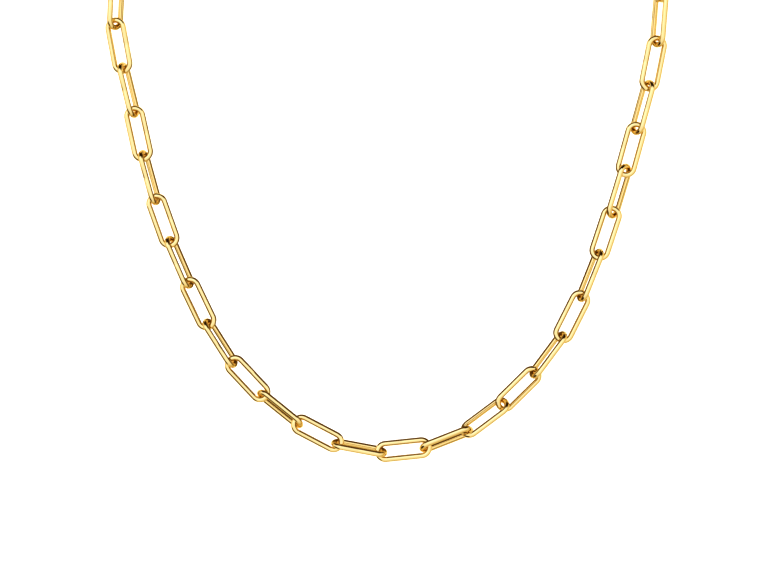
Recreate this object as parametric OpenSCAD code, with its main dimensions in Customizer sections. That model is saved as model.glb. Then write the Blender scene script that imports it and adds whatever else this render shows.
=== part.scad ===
// Paperclip chain necklace: the whole loop, lying as it is worn.
// Lengths are in millimetres. The origin is the middle of the nape, on the line of the chain.
// +X is the right of the picture, the front faces -Y and +Z is up.

/* [Links] */
// Number of links in the chain
link_count = 41; // [33:1:51]
// Length of a link, outside
link_length = 13.8; // [11:0.1:18]
// Width of the opening inside a link
link_opening = 2.45; // [2.2:0.05:4]
// Diameter of the round wire
wire_d = 1.35; // [1:0.05:1.6]
// Clear space between two links where they hook
hook_gap = 0.18; // [0.15:0.01:0.3]

/* [Lie] */
// Lean of the front of the loop, back from upright
front_lean = 38; // [15:1:48]
// Lean of the loop at the nape, back from upright
nape_lean = 66; // [52:1:80]
// Distance that the clasp is slid from the nape towards the first link
slide = 3.5; // [0:0.05:10]
// Roll of the hidden links, to one side and the other in turn
hidden_roll = 45; // [40:1:50]

/* [Clasp] */
// Length of the clasp, outside
clasp_length = 15; // [14:0.5:20]
// Width of the opening in the claw
claw_opening = 3; // [2.6:0.1:4]
// Length of the opening in the claw
claw_window = 6; // [5:0.1:7]
// Thickness of the claw's hooked side
claw_wire_d = 1.5; // [1.3:0.1:1.8]
// Thickness of the claw's stout side
claw_body_d = 2.4; // [2:0.1:2.6]
// Thickness of the neck between the claw and the tail ring
neck_d = 1.8; // [1.5:0.1:2.2]
// Width of the opening in the tail ring
ring_opening = 2.5; // [2.2:0.1:3]
// Thickness of the tail ring's wire
ring_wire_d = 1.2; // [1:0.1:1.5]

/* [Hidden] */
$fn = 64;

// Chosen points of the loop, laid out flat: distance across, then height above its lowest point.
// They start at the nape and go down the left of the picture, round the front and up again.
route = [
    [0, 153], [-21, 152.5], [-39.5, 147.5], [-55.75, 137], [-63.25, 120.5],
    [-65.75, 104], [-61, 81], [-56.25, 61.5], [-48.5, 41.5], [-37.5, 21.5], [-20, 5.75],
    [-2.5, 0], [17.5, 4.25], [36.25, 20.25], [46.25, 37], [53.5, 56.75], [59.75, 78.25],
    [64.5, 98.25], [64.5, 119.5], [54.75, 136.25], [39.5, 147.5], [21, 152.5]
];
// Height on the flat loop above which it bends back over the shoulders
shoulder_height = 110;
// Steps in which each stretch between two chosen points is measured
steps = 16;

// Rolls of the links that show from the front, in order, the first being link first_seen.
// A roll is positive where the wire on the outer side of the loop is nearer the viewer.
first_seen = 8;
seen_rolls = [
    51, -14, 65, 0, 69, 0, 64, -9, 66, -6, -69, 0, 72,
    0, -67, 41, -20, 68, -4, 69, 4, -56, 0, 58, -12, 55
];
last_seen = first_seen + len(seen_rolls) - 1;

function link_name(n) = str("link_", n < 10 ? "0" : "", n);

// Bends of the wires, along their middle lines
link_bend_r = (link_opening + wire_d) / 2;
claw_bend_r = (claw_opening + claw_wire_d) / 2;
ring_bend_r = (ring_opening + ring_wire_d) / 2;

// Distances from one end of a piece to the other, between the middle lines of its end bends
link_reach = link_length - wire_d;
claw_reach = claw_window + claw_wire_d;
clasp_reach = clasp_length - (claw_wire_d + ring_wire_d) / 2;

// Roll of each link about its own length
function by_turns(k) = k % 2 == 0 ? hidden_roll : -hidden_roll;
function link_roll(n) =
    n < first_seen ? by_turns(first_seen - n) :
    n > last_seen ? by_turns(n - last_seen) :
    seen_rolls[n - first_seen];

// A smooth line through the chosen points, where u counts them
function chosen(i) = route[(i + len(route)) % len(route)];
function smooth(a, b, c, d, t) =
    (2 * b + (c - a) * t + (2 * a - 5 * b + 4 * c - d) * t * t + (3 * b - a - 3 * c + d) * t * t * t) / 2;
function flat_line(u) =
    let (i = floor(u)) smooth(chosen(i - 1), chosen(i), chosen(i + 1), chosen(i + 2), u - i);

// The line measured, so that a share of its whole length finds a point on it
samples = [for (i = [0 : len(route) * steps]) flat_line(i / steps)];
function stride(i) = i > 0 && i < len(samples) ? norm(samples[i] - samples[i - 1]) : 0;
walked = [for (i = 0, s = 0; i < len(samples); i = i + 1, s = s + stride(i)) [s, i / steps]];
route_length = walked[len(walked) - 1][0];
function at_share(share) = flat_line(lookup((share - floor(share)) * route_length, walked));

// The flat loop leant back, and bent further back above the shoulders
nape_height = route[0].y;
degree = PI / 180;
fold_r = (nape_height - shoulder_height) / ((nape_lean - front_lean) * degree);
function lean_at(h) = front_lean + max(0, h - shoulder_height) / fold_r / degree;
function back_at(h) =
    min(h, shoulder_height) * sin(front_lean) + fold_r * (cos(front_lean) - cos(lean_at(h)));
function rise_at(h) =
    min(h, shoulder_height) * cos(front_lean) + fold_r * (sin(lean_at(h)) - sin(front_lean));
function worn(p) = [p.x, back_at(p.y) - back_at(nape_height), rise_at(p.y) - rise_at(nape_height)];
function facing(p) = [0, -cos(lean_at(p.y)), sin(lean_at(p.y))];

// Steps of the chain from joint to joint, where hooks holds how far the middle lines of two
// hooked ends reach past each other. The last joint is where the clasp starts.
function step_after(n, hooks) =
    (n < link_count ? link_reach : clasp_reach) - (hooks[n] + hooks[(n + 1) % (link_count + 1)]) / 2;
function marks(hooks) = [
    for (n = 0, s = slide + step_after(link_count, hooks) / 2;
        n <= link_count;
        s = s + step_after(n, hooks), n = n + 1) s
];
function whole(marks, hooks) = marks[link_count] - marks[0] + step_after(link_count, hooks);
function shares(marks, length) = [for (s = marks) s / length];

// Square hooks: two end bends that cross squarely touch at their tips
clear = wire_d + hook_gap;
function square_hook(n) =
    n == 0 ? (wire_d + ring_wire_d) / 2 + hook_gap :
    n == link_count ? (wire_d + claw_wire_d) / 2 + hook_gap : clear;
square_hooks = [for (n = [0 : link_count]) square_hook(n)];
rough_marks = marks(square_hooks);
rough_joints = [for (share = shares(rough_marks, whole(rough_marks, square_hooks))) worn(at_share(share))];

// Turn of the chain at each joint
function angle_between(v, w) = acos(v * w / norm(v) / norm(w));
function turn_at(n) =
    let (last = len(rough_joints), before = rough_joints[(n + last - 1) % last], here = rough_joints[n])
    angle_between(here - before, rough_joints[(n + 1) % last] - here);

// Two bends that cross less squarely touch on their flanks and hook deeper, and so do two
// that turn away from each other.
function plane_angle(a, b) = let (turn = abs(a - b) % 180) min(turn, 180 - turn);
function flank_hook(angle) =
    let (flank = pow(clear / (2 * link_bend_r), 2) / pow(sin(angle / 2), 2))
    link_bend_r * (1 - cos(angle)) >= clear ? clear :
    2 * link_bend_r * (1 - cos(angle / 2) * sqrt(1 - flank));
function turned_hook(turn) =
    let (room = pow(link_bend_r, 2) - clear * (2 * link_bend_r - clear) / pow(cos(turn / 2), 2))
    link_bend_r - sqrt(max(0, room));
function hook(n) =
    turned_hook(turn_at(n)) +
    (n % link_count == 0 ? square_hooks[n] : flank_hook(plane_angle(link_roll(n), link_roll(n + 1)))) -
    clear;
hooks = [for (n = [0 : link_count]) hook(n)];
joint_marks = marks(hooks);
loop_length = whole(joint_marks, hooks);

// The joints, with the loop scaled so that the chain closes on itself
flat_joints = [for (share = shares(joint_marks, loop_length)) at_share(share)];
joints = [for (p = flat_joints) worn(p) * loop_length / route_length];
faces = [for (p = flat_joints) facing(p)];

function unit(v) = v / norm(v);

// Puts a piece that is centred on the origin, along X and flat on XY, between two joints.
// Its wires reach past the first joint by hook_a / 2 and past the second by hook_b / 2.
module between(a, b, face, roll, hook_a, hook_b) {
    along = unit(b - a);
    front = unit(face - (face * along) * along);
    outer = cross(along, front);
    across = cos(roll) * outer + sin(roll) * front;
    through = cross(along, across);
    middle = (a + b) / 2 + along * (hook_b - hook_a) / 4;
    multmatrix([
        [along.x, across.x, through.x, middle.x],
        [along.y, across.y, through.y, middle.y],
        [along.z, across.z, through.z, middle.z]
    ]) children();
}

// A ring of round wire, long along X: reach is its length along the wire's middle line
module wire_ring(reach, bend_r, thickness) {
    straight = reach - 2 * bend_r;
    for (end = [-1, 1])
        translate([end * straight / 2, 0, 0])
            rotate([0, 0, -90 * end])
                rotate_extrude(angle = 180)
                    translate([bend_r, 0])
                        circle(d = thickness);
    for (side = [-1, 1])
        translate([0, side * bend_r, 0])
            rotate([0, 90, 0])
                cylinder(h = straight, d = thickness, center = true);
}

// One link of the chain
module link(n) {
    color("gold")
        between(joints[n - 1], joints[n], faces[n - 1] + faces[n], link_roll(n), hooks[n - 1], hooks[n])
            wire_ring(link_reach, link_bend_r, wire_d);
}

// The stout side of the claw: a rounded bar beside its opening
module claw_bar() {
    bar = claw_reach - 2 * claw_bend_r;
    translate([0, -claw_bend_r, 0])
        rotate([0, 90, 0])
            cylinder(h = bar, d = claw_body_d, center = true);
    for (end = [-1, 1])
        translate([end * bar / 2, -claw_bend_r, 0])
            sphere(d = claw_body_d);
}

// The ring that the first link hangs in
module tail_ring() {
    rotate_extrude()
        translate([ring_bend_r, 0])
            circle(d = ring_wire_d);
}

// The clasp at the back, in one piece: a claw, a neck and a tail ring turned to suit the first link
module clasp() {
    claw_roll = link_roll(link_count) - 90;
    ring_turn = link_roll(1) + 90 - claw_roll;
    claw_x = (claw_reach - clasp_reach) / 2;
    ring_x = clasp_reach / 2 - ring_bend_r;
    neck_from = claw_x + claw_reach / 2;
    neck_to = ring_x - ring_bend_r;
    color("gold")
        between(joints[link_count], joints[0], facing(route[0]), claw_roll, hooks[link_count], hooks[0]) {
            translate([claw_x, 0, 0]) {
                wire_ring(claw_reach, claw_bend_r, claw_wire_d);
                claw_bar();
            }
            translate([neck_from, 0, 0])
                rotate([0, 90, 0])
                    cylinder(h = neck_to - neck_from, d = neck_d);
            translate([neck_from, 0, 0])
                sphere(d = claw_body_d);
            translate([ring_x, 0, 0])
                rotate([ring_turn, 0, 0])
                    tail_ring();
        }
}

for (n = [1 : link_count])
    link(n);
clasp();
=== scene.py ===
import math

import bmesh
import bpy
import numpy as np
from mathutils import Matrix, Vector


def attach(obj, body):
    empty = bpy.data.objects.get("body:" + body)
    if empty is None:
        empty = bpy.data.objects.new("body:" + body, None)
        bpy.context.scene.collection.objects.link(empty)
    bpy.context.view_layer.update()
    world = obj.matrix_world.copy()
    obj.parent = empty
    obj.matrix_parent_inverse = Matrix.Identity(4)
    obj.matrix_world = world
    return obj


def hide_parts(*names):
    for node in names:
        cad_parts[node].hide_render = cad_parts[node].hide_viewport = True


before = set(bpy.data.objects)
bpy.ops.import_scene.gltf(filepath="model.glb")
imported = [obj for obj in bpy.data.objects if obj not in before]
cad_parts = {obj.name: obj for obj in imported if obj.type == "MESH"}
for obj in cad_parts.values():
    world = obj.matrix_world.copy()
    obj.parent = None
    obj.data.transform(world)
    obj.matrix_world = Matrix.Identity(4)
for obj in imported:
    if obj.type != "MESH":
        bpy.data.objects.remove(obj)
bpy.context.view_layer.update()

# Lengths are in metres, in the frame of the part's source.
MM = 0.001

# Lean of the front of the chain, back from upright
LEAN = math.radians(38)

# Links: middle line from end to end, bend of each end, and thickness of the wire
LINK_REACH = 12.45 * MM
LINK_BEND = 1.9 * MM
LINK_WIRE = 1.35 * MM

# Faces round the wire, and along each end bend
WIRE_SIDES = 32
BEND_STEPS = 24

# Solder seam in one long side of each link: its length, the share of it from ring to ring, and how
# each ring swells
SEAM_LENGTH = 0.32 * MM
SEAM_SHARE = 0.2
SEAM_SWELLS = (0.986, 1.022, 1, 0.979, 1.0144)

# Picture: the point in its middle, its width there, and the camera's lens and sensor
PICTURE_MIDDLE = Vector((-1.1, -77.15, -82.0)) * MM
PICTURE_WIDTH = 184.42 * MM
LENS = 200
SENSOR_WIDTH = 36

# Surface that the chain hangs over
FLOOR_HEIGHT = -150 * MM
FLOOR_SIZE = 30

# Dark dome inside the loop, painted shade seen only in the reflections on the gold: half its size each
# way, a point in front of its middle, and how far behind that point it lies
SHADE_REACH = (46 * MM, 54 * MM, 26 * MM)
SHADE_FRONT = Vector((0, -64.4, -65.8)) * MM
SHADE_DEPTH = 8 * MM

# Lamp overhead: its height in metres, its width and its strength, then the strength of the room
LAMP_HEIGHT = 1.6
LAMP_WIDTH = 8
LAMP_STRENGTH = 183
ROOM_STRENGTH = 1.05

# Light of the room, from behind the chain to in front of it
WALL_LIGHT = (
    (0, (0.84, 0.77, 0.58)),
    (0.3, (0.78, 0.68, 0.44)),
    (0.4, (0.62, 0.48, 0.22)),
    (0.46, (0.58, 0.44, 0.18)),
    (0.52, (0.64, 0.52, 0.26)),
    (0.6, (0.79, 0.72, 0.51)),
    (0.7, (0.86, 0.82, 0.68)),
    (0.85, (0.92, 0.91, 0.83)),
    (1, (0.95, 0.95, 0.91)),
)

# How a dark band dims it, from behind the chain to in front of it
DARK_BAND = (
    (0, (1, 1, 1)),
    (0.4, (1, 1, 1)),
    (0.46, (0.04, 0.02, 0.003)),
    (0.8, (0.04, 0.02, 0.003)),
    (0.86, (1, 1, 1)),
    (1, (1, 1, 1)),
)

# Where the band hangs: from all the room outside it to its middle, above and at the lower left
TOP_REACH = ((0, (0, 0, 0)), (0.79, (0, 0, 0)), (0.83, (1, 1, 1)), (1, (1, 1, 1)))
LEFT_REACH = ((0, (0, 0, 0)), (0.93, (0, 0, 0)), (0.955, (1, 1, 1)), (1, (1, 1, 1)))

# How the room darkens towards the floor
LOW_SHADE = (
    (0, (1, 1, 1)),
    (0.45, (1, 1, 1)),
    (0.8, (0.88, 0.86, 0.8)),
    (1, (0.84, 0.81, 0.74)),
)

# How a bright window in front stands out from the walls round it
FRONT_WINDOW = (
    (0, (0.87, 0.86, 0.83)),
    (0.97, (0.87, 0.86, 0.83)),
    (0.985, (1, 1, 1)),
    (1, (1, 1, 1)),
)

# Colour of the gold seen at a slant
EDGE_TINT = (1, 0.8, 0.42, 1)

# Grain of the gold: its drift of colour, and its wiping marks with their depth and strength
DRIFT_GRAIN = 160
MARKS_GRAIN = 1500
MARKS_DEPTH = 0.02 * MM
MARKS_STRENGTH = 0.35

# How a painted line dims the gold beside the inside of each link, in place of a reflection there, and
# a faint painted shade tints its inmost side: from the middle of the wire to its inmost point
PAINTED_REFLECTION_LINE = (
    (0, (1, 1, 1)),
    (0.44, (1, 1, 1)),
    (0.52, (0.42, 0.29, 0.11)),
    (0.64, (0.42, 0.29, 0.11)),
    (0.74, (1, 0.95, 0.84)),
    (1, (1, 0.95, 0.84)),
)


# Camera and studio
def set_camera(middle, width, lens):
    """Puts a long lens square on to the leaning front of the chain, where the picture has that width."""
    toward = Vector((0, -math.cos(LEAN), math.sin(LEAN)))
    camera = bpy.data.objects.new("camera", bpy.data.cameras.new("camera"))
    camera.data.lens = lens
    camera.data.sensor_width = SENSOR_WIDTH
    camera.location = middle + toward * (width * lens / SENSOR_WIDTH)
    camera.rotation_mode = "QUATERNION"
    camera.rotation_quaternion = (-toward).to_track_quat("-Z", "Y")
    bpy.context.scene.collection.objects.link(camera)
    bpy.context.scene.camera = camera


def add_softbox(name, place, aim, width, height, strength):
    """Hangs one square-edged soft light at place, turned to aim."""
    lamp = bpy.data.lights.new(name, "AREA")
    lamp.shape = "RECTANGLE"
    lamp.size = width
    lamp.size_y = height
    lamp.energy = strength
    light = bpy.data.objects.new(name, lamp)
    light.location = place
    light.rotation_mode = "QUATERNION"
    light.rotation_quaternion = (Vector(aim) - Vector(place)).to_track_quat("-Z", "Y")
    bpy.context.scene.collection.objects.link(light)
    return light


def facing_share(nodes, links, place, toward):
    """How far a direction of the room points toward a given one: 0 away from it and 1 straight at it."""
    ahead = nodes.new("ShaderNodeVectorMath")
    ahead.operation = "DOT_PRODUCT"
    ahead.inputs[1].default_value = Vector(toward).normalized()
    share = nodes.new("ShaderNodeMapRange")
    share.inputs["From Min"].default_value = -1
    share.inputs["From Max"].default_value = 1
    links.new(place.outputs["Generated"], ahead.inputs[0])
    links.new(ahead.outputs["Value"], share.inputs["Value"])
    return share.outputs["Result"]


def colour_steps(nodes, links, share, steps):
    """Colours along a share, each with the place where it is reached."""
    ramp = nodes.new("ShaderNodeValToRGB")
    stops = ramp.color_ramp.elements
    stops[0].position = steps[0][0]
    stops[0].color = (*steps[0][1], 1)
    stops[1].position = steps[-1][0]
    stops[1].color = (*steps[-1][1], 1)
    for position, colour in steps[1:-1]:
        stops.new(position).color = (*colour, 1)
    links.new(share, ramp.inputs["Fac"])
    return ramp.outputs["Color"]


def dim_colours(nodes, links, colours, dimming, reach=None):
    """Colours dimmed by other ones, everywhere or as far as a reach says."""
    dim = nodes.new("ShaderNodeMix")
    dim.data_type = "RGBA"
    dim.blend_type = "MULTIPLY"
    dim.inputs["Factor"].default_value = 1
    links.new(colours, dim.inputs["A"])
    links.new(dimming, dim.inputs["B"])
    if reach is not None:
        links.new(reach, dim.inputs["Factor"])
    return dim.outputs["Result"]


def picture_way(across, up, front):
    """A direction given across the picture, up it and out of it."""
    rise = Vector((0, math.sin(LEAN), math.cos(LEAN)))
    toward = Vector((0, -math.cos(LEAN), math.sin(LEAN)))
    return Vector((across, 0, 0)) + up * rise + front * toward


def fill_room(strength):
    """Even light in front of the chain and behind it, and a warm dim gap all round with two dark ones."""
    world = bpy.data.worlds.new("studio")
    world.use_nodes = True
    nodes = world.node_tree.nodes
    links = world.node_tree.links
    place = nodes.new("ShaderNodeTexCoord")
    front = facing_share(nodes, links, place, picture_way(-0.2, 0, 1))
    room = colour_steps(nodes, links, front, WALL_LIGHT)
    band = colour_steps(nodes, links, front, DARK_BAND)
    above = picture_way(0, 1, 0.21)
    lower_left = picture_way(-0.75, -0.66, 0.2)
    for way, reach in ((above, TOP_REACH), (lower_left, LEFT_REACH)):
        share = facing_share(nodes, links, place, way)
        room = dim_colours(nodes, links, room, band, colour_steps(nodes, links, share, reach))
    below = picture_way(0, -1, 0.3)
    window = picture_way(-0.3, 0.35, 1)
    for way, shade in ((below, LOW_SHADE), (window, FRONT_WINDOW)):
        share = facing_share(nodes, links, place, way)
        room = dim_colours(nodes, links, room, colour_steps(nodes, links, share, shade))
    links.new(room, nodes["Background"].inputs["Color"])
    nodes["Background"].inputs["Strength"].default_value = strength
    bpy.context.scene.world = world


# Mesh helpers
def as_piece(bm, name, material):
    """Turns a finished bmesh into a smooth piece that rides on the chain."""
    bmesh.ops.remove_doubles(bm, verts=bm.verts[:], dist=0.000001)
    bmesh.ops.recalc_face_normals(bm, faces=bm.faces[:])
    for face in bm.faces:
        face.smooth = True
    mesh = bpy.data.meshes.new(name)
    bm.to_mesh(mesh)
    bm.free()
    mesh.materials.append(material)
    piece = bpy.data.objects.new(name, mesh)
    bpy.context.scene.collection.objects.link(piece)
    return piece


def wire_end(bm, sides, thickness, place):
    """A circle of wire, facing along X, and the edges round it."""
    turned = Matrix.Translation(place) @ Matrix.Rotation(math.radians(90), 4, "Y")
    made = bmesh.ops.create_circle(bm, segments=sides, radius=thickness / 2, matrix=turned)
    return list(dict.fromkeys(edge for vert in made["verts"] for edge in vert.link_edges))


def draw_wire(bm, edges, travel, swell):
    """Draws the end of a wire on by travel, and swells it by a share of its thickness."""
    grown = bmesh.ops.extrude_edge_only(bm, edges=edges)["geom"]
    verts = [item for item in grown if isinstance(item, bmesh.types.BMVert)]
    bmesh.ops.translate(bm, verts=verts, vec=travel)
    middle = sum((vert.co for vert in verts), Vector()) / len(verts)
    bmesh.ops.scale(bm, verts=verts, vec=(swell, swell, swell), space=Matrix.Translation(-middle))
    return [item for item in grown if isinstance(item, bmesh.types.BMEdge)]


def bend_wire(bm, edges, centre, steps):
    """Bends the end of a wire half way round a centre, and gives its new end."""
    bent = bmesh.ops.spin(
        bm, geom=edges, cent=centre, axis=(0, 0, 1), angle=math.pi, steps=steps)
    return [item for item in bent["geom_last"] if isinstance(item, bmesh.types.BMEdge)]


def shape_link():
    """One link, lying flat round the origin: a wire ring closed by a solder seam in one long side."""
    bm = bmesh.new()
    run = LINK_REACH / 2 - LINK_BEND
    start = wire_end(bm, WIRE_SIDES, LINK_WIRE, Vector((run, -LINK_BEND, 0)))
    end = bend_wire(bm, start, (run, 0, 0), BEND_STEPS)
    for travel, swell in seam_steps(run):
        end = draw_wire(bm, end, (-travel, 0, 0), swell)
    end = bend_wire(bm, end, (-run, 0, 0), BEND_STEPS)
    draw_wire(bm, end, (2 * run, 0, 0), 1)
    mark_inside(bm, run)
    return bm


def mark_inside(bm, run):
    """Notes on each point how far it lies on the inside of the ring: 1 inmost, -1 outmost."""
    inside = bm.verts.layers.float.new("inside")
    for vert in bm.verts:
        nearest = Vector((max(-run, min(run, vert.co.x)), 0, 0))
        out = (vert.co - nearest).to_2d().length
        vert[inside] = (LINK_BEND - out) / (LINK_WIRE / 2)


def seam_steps(run):
    """Lengths of wire between the rings that shape the solder seam, and how each ring swells."""
    lead = run - SEAM_LENGTH / 2
    step = SEAM_LENGTH * SEAM_SHARE
    return [(lead, 1), *((step, swell) for swell in SEAM_SWELLS), (lead, 1)]


def lie_of(node):
    """Place and turn of a link, weighed from its solid in the CAD model."""
    mesh = node.data
    mesh.calc_loop_triangles()
    points = np.empty(len(mesh.vertices) * 3)
    mesh.vertices.foreach_get("co", points)
    points = points.reshape(-1, 3)
    offset = points.mean(0)
    corners = np.empty(len(mesh.loop_triangles) * 3, int)
    mesh.loop_triangles.foreach_get("vertices", corners)
    a, b, c = (points - offset)[corners.reshape(-1, 3)].transpose(1, 0, 2)
    weights = np.einsum("ij,ij->i", a, np.cross(b, c)) / 6
    middle = weights @ (a + b + c) / weights.sum() / 4
    spread = sum(np.einsum("i,ij,ik->jk", weights, p, p) for p in (a + b + c, a, b, c))
    spread = spread / weights.sum() / 20 - np.outer(middle, middle)
    thin, wide, long = np.linalg.eigh(spread)[1].T
    long = long * (1 if long[2] > 0 or abs(long[2]) < 0.001 else -1)
    turned = Matrix((long, wide, np.cross(long, wide))).transposed().to_4x4()
    return Matrix.Translation(middle + offset) @ turned


# Finish
def polished_gold(name, tint, roughness):
    """Polished yellow gold, with fine wiping marks, a slight drift of colour along the chain, and a
    painted dark reflection line beside the inside of each link.
    """
    material = bpy.data.materials.new(name)
    material.use_nodes = True
    nodes = material.node_tree.nodes
    links = material.node_tree.links
    shader = nodes["Principled BSDF"]
    shader.inputs["Metallic"].default_value = 1
    shader.inputs["Specular Tint"].default_value = EDGE_TINT
    place = nodes.new("ShaderNodeTexCoord")
    drift = nodes.new("ShaderNodeTexNoise")
    drift.inputs["Scale"].default_value = DRIFT_GRAIN
    drift.inputs["Detail"].default_value = 2
    colour = nodes.new("ShaderNodeValToRGB")
    colour.color_ramp.elements[0].position = 0.3
    colour.color_ramp.elements[0].color = (tint[0] * 0.98, tint[1] * 0.96, tint[2] * 0.9, 1)
    colour.color_ramp.elements[1].position = 0.7
    colour.color_ramp.elements[1].color = (*tint, 1)
    links.new(place.outputs["Object"], drift.inputs["Vector"])
    links.new(drift.outputs["Fac"], colour.inputs["Fac"])
    # Painted reflection: a dark line and a faint painted shade in the base colour beside the inside of
    # each link
    reach = nodes.new("ShaderNodeAttribute")
    reach.attribute_name = "inside"
    painted_reflection = colour_steps(nodes, links, reach.outputs["Fac"], PAINTED_REFLECTION_LINE)
    links.new(dim_colours(nodes, links, colour.outputs["Color"], painted_reflection), shader.inputs["Base Color"])
    marks = nodes.new("ShaderNodeTexNoise")
    marks.inputs["Scale"].default_value = MARKS_GRAIN
    marks.inputs["Detail"].default_value = 4
    gloss = nodes.new("ShaderNodeMapRange")
    gloss.inputs["To Min"].default_value = roughness * 0.8
    gloss.inputs["To Max"].default_value = roughness * 1.25
    links.new(place.outputs["Object"], marks.inputs["Vector"])
    links.new(marks.outputs["Fac"], gloss.inputs["Value"])
    links.new(gloss.outputs["Result"], shader.inputs["Roughness"])
    ripple = nodes.new("ShaderNodeBump")
    ripple.inputs["Strength"].default_value = MARKS_STRENGTH
    ripple.inputs["Distance"].default_value = MARKS_DEPTH
    links.new(marks.outputs["Fac"], ripple.inputs["Height"])
    links.new(ripple.outputs["Normal"], shader.inputs["Normal"])
    return material


def pale_floor():
    """A plain white sweep under the chain."""
    material = bpy.data.materials.new("pale_floor")
    material.use_nodes = True
    shader = material.node_tree.nodes["Principled BSDF"]
    shader.inputs["Base Color"].default_value = (0.94, 0.94, 0.94, 1)
    shader.inputs["Roughness"].default_value = 0.9
    shader.inputs["Specular IOR Level"].default_value = 0.1
    bpy.ops.mesh.primitive_plane_add(size=FLOOR_SIZE, location=(0, 0, FLOOR_HEIGHT))
    floor = bpy.context.object
    floor.name = "floor"
    floor.data.materials.append(material)
    floor.visible_glossy = False


def dark_shade(material):
    """A dark dome inside the loop, hidden from the camera, from diffuse light and from shadows, and
    mirrored along the wires as a painted dark reflection.
    """
    bm = bmesh.new()
    bmesh.ops.create_uvsphere(bm, u_segments=48, v_segments=24, radius=1)
    bmesh.ops.scale(bm, vec=SHADE_REACH, verts=bm.verts[:])
    back = Matrix.Rotation(math.radians(90) - LEAN, 4, "X")
    middle = SHADE_FRONT - picture_way(0, 0, SHADE_DEPTH)
    bmesh.ops.transform(bm, matrix=Matrix.Translation(middle) @ back, verts=bm.verts[:])
    mesh = bpy.data.meshes.new("dark_shade")
    bm.to_mesh(mesh)
    bm.free()
    mesh.materials.append(material)
    shade = bpy.data.objects.new("dark_shade", mesh)
    bpy.context.scene.collection.objects.link(shade)
    shade.visible_camera = False
    shade.visible_diffuse = False
    shade.visible_shadow = False


def painted_dark_glow():
    """Painted shade for the dome: a nearly black card without a gloss, whose dim brown glow stands in for
    the light on a shaded card.
    """
    material = bpy.data.materials.new("painted_dark_glow")
    material.use_nodes = True
    shader = material.node_tree.nodes["Principled BSDF"]
    shader.inputs["Base Color"].default_value = (0.005, 0.003, 0.001, 1)
    shader.inputs["Roughness"].default_value = 1
    shader.inputs["Specular IOR Level"].default_value = 0
    shader.inputs["Emission Color"].default_value = (0.13, 0.075, 0.022, 1)
    shader.inputs["Emission Strength"].default_value = 1
    return material


# Making
set_camera(PICTURE_MIDDLE, PICTURE_WIDTH, LENS)
fill_room(ROOM_STRENGTH)
overhead = add_softbox(
    "overhead", (0, 0, LAMP_HEIGHT), (0, 0, 0), LAMP_WIDTH, LAMP_WIDTH, LAMP_STRENGTH)
overhead.visible_glossy = False
pale_floor()
# Painted shade: a dark dome with a dim brown glow, seen only in the reflections on the gold
dark_shade(painted_dark_glow())

gold = polished_gold("polished_gold", (0.955, 0.81, 0.5), 0.04)
pattern = shape_link()
for name in sorted(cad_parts):
    if name.startswith("link_"):
        ring = pattern.copy()
        bmesh.ops.transform(ring, matrix=lie_of(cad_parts[name]), verts=ring.verts[:])
        piece = as_piece(ring, "wire_" + name, gold)
        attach(piece, "root")
        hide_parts(name)
pattern.free()

clasp_gold = polished_gold("clasp_gold", (0.945, 0.8, 0.49), 0.06)
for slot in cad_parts["clasp"].material_slots:
    slot.material = clasp_gold

bpy.context.scene.view_settings.view_transform = "Standard"
bpy.context.scene.view_settings.look = "High Contrast"
